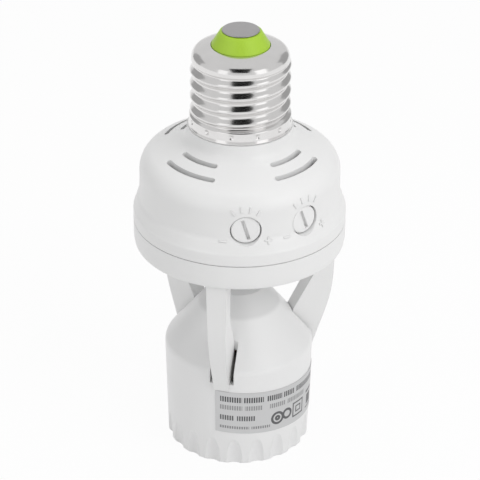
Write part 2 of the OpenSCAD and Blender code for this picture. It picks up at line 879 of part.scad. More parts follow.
module socket_base() {
    color([0.9, 0.89, 0.86])
        difference() {
            union() {
                translate([0, 0, sleeve_z + 0.02])
                    cylinder(r = base_r, h = base_t);
                translate([0, 0, sleeve_z + 0.02])
                    cylinder(r = base_hub_r, h = base_top_z - sleeve_z - 0.02);
            }
            translate([0, 0, sleeve_z - 1])
                cylinder(r = spring_pocket_r, h = spring_pocket_z - sleeve_z + 1);
            translate([0, 0, sleeve_z - 1])
                cylinder(r = stem_r + 0.05, h = 10, $fn = 64);
            for (s = [-1, 1])
                translate([s * rivet_at, 0, sleeve_z - 1])
                    cylinder(r = 1.25, h = 10, $fn = 32);
        }
}

module socket_shell() {
    color(brass) {
        threaded_tube(socket_major_r, socket_minor_r, mouth_depth + 2.1, shell_flange_z - 1.2,
            socket_major_r + 0.1, socket_major_r + 0.1, shell_outer_r - 0.05, 1.3, false);
        translate([0, 0, mouth_depth + 0.3])
            tube(shell_outer_r, socket_major_r, 2);
        translate([0, 0, shell_flange_z - 1.4])
            tube(shell_outer_r, socket_major_r, 1.4);
        translate([0, 0, shell_flange_z])
            tube(shell_outer_r, shell_rim_r, shell_flange_t);
    }
}

// Washer that holds the shell's rim against the base
module socket_washer() {
    color(brass)
        difference() {
            translate([0, 0, washer_z])
                tube(socket_major_r - 0.15, 7.2, washer_t);
            for (s = [-1, 1])
                translate([s * rivet_at, 0, washer_z - 1])
                    cylinder(r = 1.25, h = 4, $fn = 32);
        }
}

module socket_rivets() {
    color(brass)
        for (s = [-1, 1])
            translate([s * rivet_at, 0, 0])
                turned([[0, washer_z - 0.6], [1.6, washer_z - 0.6], [2, washer_z - 0.05],
                    [1.2, washer_z - 0.05], [1.2, base_top_z + 0.05], [2, base_top_z + 0.05],
                    [1.6, base_top_z + 0.7], [0, base_top_z + 0.7]]);
}

module centre_terminal() {
    color(brass)
        difference() {
            translate([-2.6, -7, base_top_z])
                cube([5.2, 9.6, terminal_t]);
            translate([0, 0, base_top_z - 1])
                cylinder(r = stem_r + 0.15, h = 3, $fn = 48);
        }
}

module contact_plunger() {
    color(brass) {
        turned([[0, plunger_z - 0.35], [1.2, plunger_z - 0.25], [plunger_r - 0.5, plunger_z],
            [plunger_r, plunger_z + 0.4], [plunger_r, plunger_z + plunger_t], [stem_r, plunger_z + plunger_t],
            [stem_r, base_top_z + terminal_t + 0.05], [2.3, base_top_z + terminal_t + 0.05],
            [2.3, base_top_z + terminal_t + 0.7], [0, base_top_z + terminal_t + 0.7]]);
    }
}

module contact_spring() {
    turns = 3.5;
    wire_r = 0.22;
    z0 = plunger_z + plunger_t + wire_r + 0.03;
    z1 = spring_pocket_z - wire_r - 0.03;
    color([0.6, 0.6, 0.62])
        swept([for (i = [0:14 * turns])
            let (a = 360 * i / 14)
            [2.6 * cos(a), 2.6 * sin(a), z0 + (z1 - z0) * i / (14 * turns)]], wire_r, 6, [0, 0, 1]);
}

module rating_label() {
    n = 30;
    t = 0.1;
    lift = 0.03;
    strip = [for (i = [0:n])
        let (s = i / n,
            b = label_start + label_angle * s - 90,
            top = label_top_z - label_drop * s)
        for (q = [[top - label_h, 0], [top, 0], [top, t], [top - label_h, t]])
            let (r = cup_r(q[0]) + lift + q[1])
            [r * cos(b), r * sin(b), q[0]]];
    color([0.75, 0.75, 0.76])
        polyhedron(
            points = strip,
            faces = concat(
                [for (i = [0:n - 1]) for (k = [0:3])
                    let (a = 4 * i + k, b = 4 * i + (k + 1) % 4)
                    each [[a, b, b + 4], [a, b + 4, a + 4]]],
                [[3, 2, 1, 0], [4 * n, 4 * n + 1, 4 * n + 2, 4 * n + 3]]),
            convexity = 4);
}

module live_wire() {
    color([0.45, 0.25, 0.15])
        swept(curve([[0, 0, 111.1], [0, -0.4, 104], [0.6, -3, 95], [-0.5, -5.6, 84], [-1, -5.7, 74],
            [-1, -5.7, board_top + 0.05]], 5), 0.6);
}

module neutral_wire() {
    color([0.2, 0.35, 0.7])
        swept(curve([[11.1, 0, 111.3], [9, 0, 111.8], [7, -0.8, 107], [5, -2.4, 97], [3.4, -5.6, 84], [3.2, -5.9, 74],
            [3.2, -5.9, board_top + 0.05]], 5), 0.6);
}

// Point on the sloping part of a leg's channel, as radius and height
function slope_point(t) =
    [wire_bend_r + (wire_low_r - wire_bend_r) * t, wire_bend_z + (wire_low_z - wire_bend_z) * t];

// Path of a wire from the board's edge through a leg to the socket
function leg_wire(b, last) = concat(
    [for (p = [[wire_bend_r - 0.8, board_z - 0.35], [wire_bend_r - 0.3, board_z - 1.5], [wire_bend_r, floor_top],
        [wire_bend_r, 54], [wire_bend_r, wire_bend_z + 2.5], slope_point(0.12), slope_point(0.55), slope_point(0.88),
        [wire_low_r - 0.9, wire_low_z], [wire_low_r - 3.2, wire_low_z - 0.1]])
        [p[0] * sin(b), -p[0] * cos(b), p[1]]],
    last);

module lamp_live_wire() {
    color([0.45, 0.25, 0.15])
        swept(curve(leg_wire(leg_bearing, [[-1.4, -9.6, 31], [0.6, -6.2, base_top_z + terminal_t + 0.85]]), 4), 0.6);
}

module lamp_neutral_wire() {
    color([0.2, 0.35, 0.7])
        swept(curve(leg_wire(leg_bearing + 120, [[12.4, 1.5, 31.1], [10.6, 0, base_top_z + 1.6]]), 4), 0.6);
}

cap_shell();
cap_insulator();
cap_contact();
upper_housing();
time_dial();
lux_dial();
lower_frame();
fresnel_lens();
light_window();
pir_can();
pir_window();
pir_pins();
light_sensor();
circuit_board();
time_trimmer();
lux_trimmer();
trimmer_pins();
relay();
film_capacitor();
electrolytic_capacitor();
control_chip();
chip_pins();
diodes();
resistors();
housing_screws();
board_screws();
live_wire();
neutral_wire();
lamp_live_wire();
lamp_neutral_wire();
lamp_cup();
socket_base();
socket_shell();
socket_washer();
socket_rivets();
centre_terminal();
contact_plunger();
contact_spring();
rating_label();
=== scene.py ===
"""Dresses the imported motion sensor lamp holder: fine skins, finishes, studio and camera."""

import math

import bpy
from bpy.props import FloatProperty, FloatVectorProperty, IntProperty, PointerProperty
from bpy.types import Operator, Panel, PropertyGroup
from mathutils import Matrix, Vector


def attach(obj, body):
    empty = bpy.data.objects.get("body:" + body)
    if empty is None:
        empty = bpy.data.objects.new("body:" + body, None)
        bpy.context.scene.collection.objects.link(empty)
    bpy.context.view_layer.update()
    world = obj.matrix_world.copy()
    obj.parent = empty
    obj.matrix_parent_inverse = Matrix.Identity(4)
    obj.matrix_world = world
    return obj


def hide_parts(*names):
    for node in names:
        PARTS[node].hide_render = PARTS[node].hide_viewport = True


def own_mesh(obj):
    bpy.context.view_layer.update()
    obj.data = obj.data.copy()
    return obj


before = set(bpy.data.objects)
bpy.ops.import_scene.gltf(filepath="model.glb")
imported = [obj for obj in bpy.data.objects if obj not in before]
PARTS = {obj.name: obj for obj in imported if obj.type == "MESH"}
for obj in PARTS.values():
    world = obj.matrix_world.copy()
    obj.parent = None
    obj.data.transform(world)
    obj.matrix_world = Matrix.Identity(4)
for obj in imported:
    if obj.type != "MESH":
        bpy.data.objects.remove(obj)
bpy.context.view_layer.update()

bl_info = {
    "name": "Motion Sensor Lamp Holder",
    "version": (1, 0, 0),
    "blender": (4, 5, 0),
    "location": "View3D > Sidebar > Lamp Holder",
    "description": "Fine skins, finishes and studio for a motion sensor lamp holder",
    "category": "Object",
}

MM = 0.001
HOLDER = "holder"
WHITE = (1.0, 1.0, 1.0)

# The threads' crest passes this height on the camera's side, this share of a turn before +X
CREST_Z = 103.785 * MM
CREST_TURN = 93.5 / 360.0
# Height over which a thread fades into its plain ends
THREAD_FADE = 1.1 * MM

# The label's left end and the turn to its right end, its top at the left and how far it sinks on the way
LABEL_START = math.radians(-21.5)
LABEL_SWEEP = math.radians(116.0)
LABEL_TOP = 23.9 * MM
LABEL_DROP = 2.4 * MM


def length(name, description, default):
    """A size in metres, given in millimetres."""
    return FloatProperty(name=name, description=description, default=default * MM, min=0.0, precision=5,
                         subtype="DISTANCE", unit="LENGTH")


def angle(name, description, default):
    """An angle in radians, given in degrees."""
    return FloatProperty(name=name, description=description, default=math.radians(default),
                         subtype="ANGLE", unit="ROTATION")


def amount(name, description, default, **extra):
    """A number that isn't below zero."""
    return FloatProperty(name=name, description=description, default=default, min=0.0, **extra)


def colour(name, description, default):
    """A colour for the sidebar."""
    return FloatVectorProperty(name=name, description=description, default=default, size=3, min=0.0, max=1.0,
                               subtype="COLOR")


class HolderSizes(PropertyGroup):
    """Sizes of the skins that are laid over the solids."""

    pitch: length("Thread pitch", "Rise of both screw threads in one turn", 3.629)
    cap_major: length("Cap crest radius", "Largest radius of the cap's thread", 13.15)
    cap_minor: length("Cap root radius", "Smallest radius of the cap's thread", 12.12)
    socket_major: length("Socket root radius", "Largest radius inside the socket's thread", 13.35)
    socket_minor: length("Socket crest radius", "Smallest radius inside the socket's thread", 12.22)
    dent_depth: length("Dimple depth", "Depth of the dimples that hold the cap to its neck", 0.4)
    dents: IntProperty(name="Dimples", description="Number of dimples round the collar", default=12, min=1)
    label_height: length("Label height", "Height of the rating label", 13.2)
    edge_round: length("Edge rounding", "Shaded rounding of the moulded edges", 0.22)


class HolderColours(PropertyGroup):
    """Colours of the finishes."""

    housing: colour("Housing", "Moulded white of the housing, ring and legs", (0.84, 0.84, 0.838))
    cup: colour("Cup", "Moulded white of the lamp cup", (0.84, 0.84, 0.84))
    dial: colour("Dials", "Moulded white of the dials", (0.86, 0.86, 0.858))
    nickel: colour("Nickel", "Plate of the screw cap", (0.77, 0.76, 0.755))
    disc: colour("Contact", "Tinned contact disc", (0.52, 0.51, 0.515))
    insulator: colour("Insulator", "Green ring round the contact", (0.40, 0.63, 0.045))
    foil: colour("Label foil", "Silver ground of the rating label", (0.60, 0.60, 0.605))
    ink: colour("Label ink", "Dark bars and shapes on the label", (0.05, 0.05, 0.055))
    brass: colour("Brass", "Lamp socket and its contacts", (0.78, 0.60, 0.30))


class StudioSettings(PropertyGroup):
    """Light and camera."""

    sky: amount("Room light", "Strength of the even light from all round", 0.56)
    walls: amount("Room in reflections", "Brightness of the room on polished surfaces", 0.74)
    key: amount("Key light", "Power of the large lamp at the right", 1.7, unit="POWER")
    fill: amount("Fill light", "Power of the lamp at the left", 0.35, unit="POWER")
    top: amount("Top light", "Power of the lamp overhead", 0.8, unit="POWER")
    lens: FloatProperty(name="Focal length", description="Camera lens in millimetres", default=167.3, min=1.0)
    distance: length("Camera distance", "From the camera to the point it looks at", 600.0)
    elevation: angle("Elevation", "Height of the camera above the horizon", 29.4)
    bearing: angle("Bearing", "Turn of the camera round the holder", -3.5)
    flag: angle("Dark flag", "Height above the horizon of the dark card over the camera", 48.0)
    roll: angle("Roll", "Tilt of the picture", 0.40)
    aim_z: length("Aim height", "Height of the point the camera looks at", 59.5)


class Value:
    """A shader number that works in Python expressions."""

    def __init__(self, graph, socket):
        self.graph = graph
        self.socket = socket

    def _with(self, operation, *others):
        return self.graph.math(operation, self, *others)

    def __add__(self, other):
        return self._with("ADD", other)

    __radd__ = __add__

    def __sub__(self, other):
        return self._with("SUBTRACT", other)

    def __rsub__(self, other):
        return self.graph.math("SUBTRACT", other, self)

    def __mul__(self, other):
        return self._with("MULTIPLY", other)

    __rmul__ = __mul__

    def __truediv__(self, other):
        return self._with("DIVIDE", other)

    def __rtruediv__(self, other):
        return self.graph.math("DIVIDE", other, self)

    def __neg__(self):
        return self * -1.0

    def __abs__(self):
        return self._with("ABSOLUTE")

    def __gt__(self, other):
        return self._with("GREATER_THAN", other)

    def __lt__(self, other):
        return self._with("LESS_THAN", other)

    def power(self, other):
        return self._with("POWER", other)

    def wave(self):
        return self._with("SINE")

    def either(self, other):
        return self._with("MAXIMUM", other)

    def part(self):
        """The fraction after the decimal point."""
        return self._with("FRACT")

    def ramp(self, low, high):
        """0 below low, 1 above high and a smooth step between."""
        node = self.graph.add("ShaderNodeMapRange", {"interpolation_type": "SMOOTHSTEP", "clamp": True},
                              {"Value": self, "From Min": low, "From Max": high})
        return Value(self.graph, node.outputs["Result"])


class Graph:
    """A node tree with one way to add a node."""

    def __init__(self, tree):
        self.tree = tree
        tree.nodes.clear()

    def add(self, kind, settings=None, inputs=None):
        """A node of a type, its settings first and then its sockets' values or links."""
        node = self.tree.nodes.new(kind)
        for key, value in (settings or {}).items():
            setattr(node, key, value)
        for key, value in (inputs or {}).items():
            self.feed(node.inputs[key], value)
        return node

    def feed(self, socket, value):
        """Links a value or a socket to a socket, or sets a plain value on it."""
        if isinstance(value, Value):
            value = value.socket
        if isinstance(value, bpy.types.NodeSocket):
            self.tree.links.new(value, socket)
        elif hasattr(value, "__len__") and len(value) == 3 and len(socket.default_value) == 4:
            socket.default_value = (*value, 1.0)
        else:
            socket.default_value = value

    def math(self, operation, *terms):
        node = self.add("ShaderNodeMath", {"operation": operation}, dict(enumerate(terms)))
        return Value(self, node.outputs[0])

    def mix(self, factor, first, second):
        """A colour between two colours."""
        node = self.add("ShaderNodeMix", {"data_type": "RGBA"}, {0: factor, 6: first, 7: second})
        return node.outputs[2]


class Finish(Graph):
    """A material on one Principled shader."""

    def __init__(self, name, **plain):
        self.material = bpy.data.materials.new(name)
        self.material.use_nodes = True
        super().__init__(self.material.node_tree)
        self.shader = self.add("ShaderNodeBsdfPrincipled", None,
                               {key.replace("_", " "): value for key, value in plain.items()})
        self.add("ShaderNodeOutputMaterial", None, {"Surface": self.shader.outputs[0]})
        self.place = self.add("ShaderNodeTexCoord").outputs["Object"]
        axes = self.add("ShaderNodeSeparateXYZ", None, {"Vector": self.place})
        self.x, self.y, self.z = (Value(self, axes.outputs[i]) for i in range(3))

    def set(self, name, value):
        self.feed(self.shader.inputs[name], value)

    def noise(self, size, detail=2.0):
        """Cloudy noise with features of a size in millimetres."""
        node = self.add("ShaderNodeTexNoise", None,
                        {"Vector": self.place, "Scale": 1.0 / (size * MM), "Detail": detail})
        return Value(self, node.outputs[0])

    def radius(self):
        """Distance from the holder's axis."""
        return (self.x * self.x + self.y * self.y).power(0.5)

    def bearing(self):
        """Angle in radians from -Y toward +X."""
        return self.math("ARCTAN2", self.x, -self.y)

    def relief(self, height, depth, strength=1.0, edge=0.0):
        """Bump of a depth in metres, over edges with a shaded rounding."""
        inputs = {"Height": height, "Distance": depth, "Strength": strength}
        if edge > 0.0:
            inputs["Normal"] = self.add("ShaderNodeBevel", {"samples": 4}, {"Radius": edge}).outputs[0]
        self.set("Normal", self.add("ShaderNodeBump", None, inputs).outputs[0])


def tint(rgb, by):
    """A colour made lighter or darker by a factor."""
    return tuple(min(1.0, c * by) for c in rgb)


def moulded(name, rgb, roughness=0.36, grain=0.35, depth=0.012, edge=0.0):
    """Injection moulded plastic: faint flow clouds, a fine satin grain and soft edges."""
    finish = Finish(name, IOR=1.47)
    clouds, patches = finish.noise(9.0, 3.0), finish.noise(2.4)
    finish.ground = finish.mix(clouds, tint(rgb, 0.985), tint(rgb, 1.012))
    finish.set("Base Color", finish.ground)
    finish.set("Roughness", roughness + (patches - 0.5) * 0.07)
    finish.relief(finish.noise(grain, 2.0), depth * MM, 0.45, edge)
    return finish


def metal(name, rgb, roughness, smear=0.05, grain=0.5, depth=0.004, edge=0.0):
    """Metal with faint stains in its colour and in its polish."""
    finish = Finish(name, Metallic=1.0)
    stains, patches = finish.noise(4.0, 3.0), finish.noise(1.7, 3.0)
    finish.set("Base Color", finish.mix(stains, tint(rgb, 0.94), tint(rgb, 1.05)))
    finish.set("Roughness", roughness + (patches - 0.5) * smear)
    finish.relief(finish.noise(grain, 2.0), depth * MM, 0.5, edge)
    return finish


def dress(finish, *nodes):
    """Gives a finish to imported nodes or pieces."""
    for node in nodes:
        piece = PARTS[node] if isinstance(node, str) else node
        piece.data.materials.clear()
        piece.data.materials.append(finish.material)


def soften(*nodes, edge_angle=28.0):
    """Smooth shading over the steps of curved walls, with real edges kept."""
    for node in nodes:
        part = PARTS[node]
        weld = part.modifiers.new("weld", "WELD")
        weld.merge_threshold = 1e-6
        split = part.modifiers.new("edges", "EDGE_SPLIT")
        split.split_angle = math.radians(edge_angle)
        split.use_edge_sharp = False
        shade = part.modifiers.new("shade", "WEIGHTED_NORMAL")
        shade.weight = 60
        shade.keep_sharp = False


def piece_from(name, points, faces, smooth=True):
    """An object made of points and faces."""
    mesh = bpy.data.meshes.new(name)
    mesh.from_pydata(points, [], faces)
    mesh.validate()
    mesh.polygons.foreach_set("use_smooth", [smooth] * len(mesh.polygons))
    mesh.update()
    made = bpy.data.objects.new(name, mesh)
    bpy.context.scene.collection.objects.link(made)
    return made


def turned_grid(name, rows, around, closed=True):
    """A smooth surface of rings: each row gives the radius and height at an angle."""
    points = []
    for row in rows:
        for i in range(around):
            a = math.tau * i / around
            r, z = row(a) if callable(row) else row
            points.append((r * math.cos(a), r * math.sin(a), z))
    faces = []
    last = len(rows) if closed else len(rows) - 1
    for h in range(last):
        low, high = h * around, ((h + 1) % len(rows)) * around
        for i in range(around):
            j = (i + 1) % around
            faces.append((low + i, low + j, high + j, high + i))
    return piece_from(name, points, faces)


def coil(name, radius, wire, low, high, turns, around=28, sides=10):
    """A round wire wound up from low to high."""
    points, faces = [], []
    count = round(around * turns)
    climb = (high - low) / (math.tau * turns)
    for i in range(count + 1):
        a = math.tau * i / around
        out = Vector((math.cos(a), math.sin(a), 0.0))
        along = Vector((-radius * math.sin(a), radius * math.cos(a), climb)).normalized()
        side = along.cross(out)
        centre = out * radius + Vector((0.0, 0.0, low + (high - low) * i / count))
        for k in range(sides):
            b = math.tau * k / sides
            points.append(tuple(centre + out * (wire * math.cos(b)) + side * (wire * math.sin(b))))
    for i in range(count):
        for k in range(sides):
            j = (k + 1) % sides
            faces.append((i * sides + k, i * sides + j, (i + 1) * sides + j, (i + 1) * sides + k))
    faces += [tuple(reversed(range(sides))), tuple(range(count * sides, (count + 1) * sides))]
    return piece_from(name, points, faces)


def ease(x):
    """0 up to 0, 1 from 1 on and a smooth step between."""
    t = min(1.0, max(0.0, x))
    return t * t * (3.0 - 2.0 * t)


def steps(low, high, count):
    """Evenly spaced values from low to high."""
    return [low + (high - low) * i / count for i in range(count + 1)]


def arc(cx, cz, r, first, last, count):
    """Points of a circle from one angle to another, in degrees."""
    return [(cx + r * math.cos(math.radians(a)), cz + r * math.sin(math.radians(a)))
            for a in steps(first, last, count)]


def in_mm(*pairs):
    """Rings in metres, from radii and heights in millimetres."""
    return [(r * MM, z * MM) for r, z in pairs]


def thread_rows(pitch, major, minor, low, high, low_r, high_r, count):
    """The rings of a rolled right-hand thread that fades to plain ends."""
    def ring(z):
        def place(a):
            crest = CREST_Z + pitch * (CREST_TURN + a / math.tau)
            wave = (major + minor) / 2 + (major - minor) / 2 * math.cos(math.tau * (z - crest) / pitch)
            r = low_r + (wave - low_r) * ease((z - low) / THREAD_FADE)
            return high_r + (r - high_r) * ease((high - z) / THREAD_FADE), z
        return place
    return [ring(z) for z in steps(low, high, count)]


class HOLDER_OT_screw_cap(Operator):
    """Lays a fine rolled skin over the cap's shell and gives the cap its metals and its green insulator"""

    bl_idname = "lamp_holder.screw_cap"
    bl_label = "Screw cap"

    def execute(self, context):
        sizes = context.scene.holder_sizes
        colours = context.scene.holder_colours
        collar, dome_foot = 13.35 * MM, 12.75 * MM
        thread_low, thread_high = 97.8 * MM, 113.4 * MM
        dent_z, dent_r = 96.8 * MM, 0.86 * MM
        first_dent = math.radians(-103.5)

        def collar_row(z):
            """One ring of the collar, pressed in at the dimples."""
            def place(a):
                step = math.tau / sizes.dents
                off = (a - first_dent + step / 2) % step - step / 2
                d = math.hypot(off * collar, z - dent_z) / dent_r
                dent = sizes.dent_depth * (1.0 - d * d) ** 2 if d < 1.0 else 0.0
                return collar - dent, z
            return place

        lip = in_mm((12.65, 95.3), (12.65, 94.86), (12.72, 94.8))
        bead = in_mm((13.3, 94.8), (13.5, 94.8), (13.585, 94.835), (13.62, 94.92), (13.61, 95.05),
                     (13.56, 95.18), (13.49, 95.34), (13.42, 95.53), (13.37, 95.72))
        neck = [collar_row(z * MM) for z in steps(95.85, 97.7, 15)]
        thread = thread_rows(sizes.pitch, sizes.cap_major, sizes.cap_minor, thread_low, thread_high,
                             collar, dome_foot, count=110)
        dome = in_mm(*arc(cx=10.1, cz=113.7, r=2.63, first=4, last=66, count=16))
        crown = in_mm((10.5, 116.4), (9.6, 116.72), (8.6, 116.96), (7.95, 117.1), (7.78, 117.1),
                      (7.7, 117.02), (7.7, 116.7))
        rows = lip + bead + neck + thread + dome + crown
        skin = turned_grid("cap_shell_skin", rows, around=288, closed=False)
        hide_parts("cap_shell")
        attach(skin, HOLDER)

        plate = metal("bright_nickel", colours.nickel, 0.17, smear=0.06, grain=0.9, depth=0.003)
        dress(plate, skin)
        dress(metal("cap_strip", colours.nickel, 0.2), "cap_shell")

        disc = metal("tinned_disc", colours.disc, 0.42, smear=0.12, grain=0.25, depth=0.006, edge=0.12 * MM)
        dress(disc, "cap_contact")
        soften("cap_contact")

        ring = moulded("green_insulator", colours.insulator, roughness=0.42, edge=0.15 * MM)
        dress(ring, "cap_insulator")
        soften("cap_insulator")
        return {"FINISHED"}


class HOLDER_OT_mouldings(Operator):
    """Gives the housing, ring, legs, dials and lamp cup their moulded white"""

    bl_idname = "lamp_holder.mouldings"
    bl_label = "White mouldings"

    def execute(self, context):
        sizes = context.scene.holder_sizes
        colours = context.scene.holder_colours
        white = moulded("housing_white", colours.housing, edge=sizes.edge_round)
        dress(white, "upper_housing", "lower_frame")
        dress(moulded("dial_white", colours.dial, roughness=0.4, edge=0.12 * MM), "time_dial", "lux_dial")

        cup = moulded("cup_white", colours.cup, roughness=0.33, edge=sizes.edge_round)
        # Painted shadow of the ring on the cone's tip: the cup's white is darkened there, out to a soft edge
        ring_shadow = 1.0 - cup.radius().ramp(10.6 * MM, 11.6 * MM)
        above = cup.z.ramp(36.0 * MM, 37.0 * MM)
        cup.set("Base Color", cup.mix(ring_shadow * above * 0.5, cup.ground, tint(colours.cup, 0.72)))
        dress(cup, "lamp_cup")
        soften("upper_housing", "lower_frame", "time_dial", "lux_dial", "lamp_cup")
        return {"FINISHED"}


def curved_foil(name, height):
    """A thin foil with closed edges, bent round the lamp cup."""
    # Steps of the mesh along the cup and down it
    across, down = 116, 10
    # The cup's wall, from its radius at the rim to its radius under the shoulder
    rim_r, shoulder_r, shoulder_z = 19.5 * MM, 20.23 * MM, 28.5 * MM
    # The foil's inner and outer face stand this far off the wall
    inner, outer = 0.035 * MM, 0.125 * MM
    points, faces = [], []
    for off_wall in (inner, outer):
        for i in range(across + 1):
            for k in range(down + 1):
                s = i / across
                z = LABEL_TOP - LABEL_DROP * s - (1.0 - k / down) * height
                r = rim_r + (shoulder_r - rim_r) * z / shoulder_z + off_wall
                b = LABEL_START + LABEL_SWEEP * s
                points.append((r * math.sin(b), -r * math.cos(b), z))

    def at(side, i, k):
        """Number of a point on the inner side, 0, or the outer side, 1."""
        return (side * (across + 1) + i) * (down + 1) + k

    for i in range(across):
        for k in range(down):
            faces.append((at(1, i, k), at(1, i + 1, k), at(1, i + 1, k + 1), at(1, i, k + 1)))
            faces.append((at(0, i, k), at(0, i, k + 1), at(0, i + 1, k + 1), at(0, i + 1, k)))
        for k in (0, down):
            quad = (at(0, i, k), at(0, i + 1, k), at(1, i + 1, k), at(1, i, k))
            faces.append(quad if k == 0 else quad[::-1])
    for k in range(down):
        for i in (0, across):
            quad = (at(0, i, k), at(1, i, k), at(1, i, k + 1), at(0, i, k + 1))
            faces.append(quad if i == 0 else quad[::-1])
    return piece_from(name, points, faces)


def label_print(skin, height):
    """How dark the print is: plain bars for the words, and rings and squares for the signs."""
    # Place on the label, from 0 to 1 along it and down it
    s = (skin.bearing() - LABEL_START) / LABEL_SWEEP
    t = (LABEL_TOP - LABEL_DROP * s - skin.z) / height
    # The label's length over its height, the width of a ring's line and how dark the signs are
    aspect, line, dark = 3.08, 0.028, 0.9
    # Strokes along the whole label, and the inked share of each
    strokes, inked = 62.0, 0.64

    def bar(s0, s1, t0, t1):
        """A filled rectangle on the label."""
        return (s > s0) * (s < s1) * (t > t0) * (t < t1)

    def ring(s0, t0, r):
        """A circle drawn as a line, with its radius as a share of the label's height."""
        d = (((s - s0) * aspect).power(2.0) + (t - t0).power(2.0)).power(0.5) - r
        return abs(d) < line

    # Each row of words: its top and bottom, its weight, and where each word starts and ends
    rows = [
        (0.11, 0.24, 0.95, ((0.034, 0.180), (0.190, 0.329), (0.353, 0.470), (0.480, 0.581), (0.601, 0.850))),
        (0.32, 0.43, 0.55, ((0.033, 0.182), (0.200, 0.322), (0.374, 0.495), (0.518, 0.698))),
        (0.57, 0.69, 0.90, ((0.030, 0.128), (0.147, 0.270))),
        (0.83, 0.895, 0.65, ((0.026, 0.230), (0.246, 0.378))),
    ]
    words = [bar(s0, s1, t0, t1) * weight for t0, t1, weight, spans in rows for s0, s1 in spans]
    ink = words[0]
    for word in words[1:]:
        ink = ink.either(word)
    # Words are broken into short strokes, and the signs stay whole
    ink = ink * ((s * strokes).part() < inked)
    signs = [ring(0.436, 0.71, 0.130), ring(0.436, 0.71, 0.040), ring(0.517, 0.68, 0.105)]
    for outside, inside in (((0.570, 0.690, 0.50, 0.86), (0.581, 0.679, 0.535, 0.825)),
                            ((0.600, 0.660, 0.60, 0.76), (0.610, 0.650, 0.63, 0.73))):
        signs.append(bar(*outside) * (1.0 - bar(*inside)))
    signs += [bar(0.740, 0.850, 0.44, 0.50), bar(0.755, 0.835, 0.56, 0.80), bar(0.740, 0.850, 0.85, 0.88)]
    for sign in signs:
        ink = ink.either(sign * dark)
    return ink


class HOLDER_OT_label(Operator):
    """Lays the printed foil round the cup, with plain bars and shapes as its print"""

    bl_idname = "lamp_holder.label"
    bl_label = "Rating label"

    def execute(self, context):
        sizes = context.scene.holder_sizes
        colours = context.scene.holder_colours
        foil = curved_foil("label_foil", sizes.label_height)
        sharp = foil.modifiers.new("edges", "EDGE_SPLIT")
        sharp.split_angle = math.radians(40)
        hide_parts("rating_label")
        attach(foil, HOLDER)

        skin = Finish("printed_foil", Metallic=0.55, IOR=1.5)
        ink = label_print(skin, sizes.label_height)
        cloud = skin.noise(3.0, 3.0)
        ground = skin.mix(cloud, tint(colours.foil, 0.97), tint(colours.foil, 1.03))
        skin.set("Base Color", skin.mix(ink, ground, colours.ink))
        skin.set("Metallic", 0.55 - ink * 0.5)
        skin.set("Roughness", 0.42 + (cloud - 0.5) * 0.06)
        skin.relief(skin.noise(0.6, 2.0), 0.006 * MM, 0.4)
        dress(skin, foil)
        dress(metal("foil_back", colours.foil, 0.4), "rating_label")
        return {"FINISHED"}


class HOLDER_OT_lamp_socket(Operator):
    """Lays a fine rolled skin over the lamp socket's shell and gives the socket its brass and its base"""

    bl_idname = "lamp_holder.lamp_socket"
    bl_label = "Lamp socket"

    def execute(self, context):
        sizes = context.scene.holder_sizes
        colours = context.scene.holder_colours
        root = sizes.socket_major
        thread_low, thread_high = 8.3 * MM, 22.0 * MM
        mouth = in_mm((13.74, 6.4), (13.7, 6.3), (13.4, 6.3))
        lead = [(root, z * MM) for z in (6.36, 6.8, 7.4, 8.1)]
        thread = thread_rows(sizes.pitch, root, sizes.socket_minor, thread_low, thread_high, root, root,
                             count=64)
        rim = in_mm((13.35, 22.2), (13.35, 23.2), (13.3, 23.36), (13.15, 23.4), (13.0, 23.4), (12.68, 23.4),
                    (12.6, 23.47), (12.6, 23.88), (12.68, 23.95), (13.6, 23.95), (13.74, 23.9), (13.74, 23.6))
        skin = turned_grid("socket_shell_skin", mouth + lead + thread + rim, around=144)
        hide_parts("socket_shell")
        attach(skin, HOLDER)
        brass = metal("pressed_brass", colours.brass, 0.24, smear=0.1, grain=0.7)
        dress(brass, skin, "socket_shell", "socket_washer", "socket_rivets", "centre_terminal",
              "contact_plunger")
        soften("socket_washer", "socket_rivets", "contact_plunger")

        base = Finish("glazed_base", IOR=1.5, Coat_Weight=0.5, Coat_Roughness=0.1)
        specks = base.noise(0.5, 3.0).ramp(0.68, 0.74)
        base.set("Base Color", base.mix(specks * 0.4, (0.82, 0.80, 0.74), (0.55, 0.50, 0.42)))
        base.set("Roughness", 0.28 + (base.noise(2.0) - 0.5) * 0.1)
        base.relief(base.noise(0.8), 0.01 * MM, 0.5)
        dress(base, "socket_base")

        # The coil winds from its seat up to its pocket, clear of both
        pocket, seat, travel, wire = 26.5 * MM, 22.8 * MM, 1.5 * MM, 0.22 * MM
        radius, turns, clear = 2.6 * MM, 3.5, 0.03 * MM
        spring = coil("spring_coil", radius, wire, seat + wire + clear, pocket - wire - clear, turns)
        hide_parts("contact_spring")
        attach(spring, HOLDER)
        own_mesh(spring)
        dress(metal("spring_steel", (0.55, 0.55, 0.57), 0.25), spring, "contact_spring")
        return {"FINISHED"}


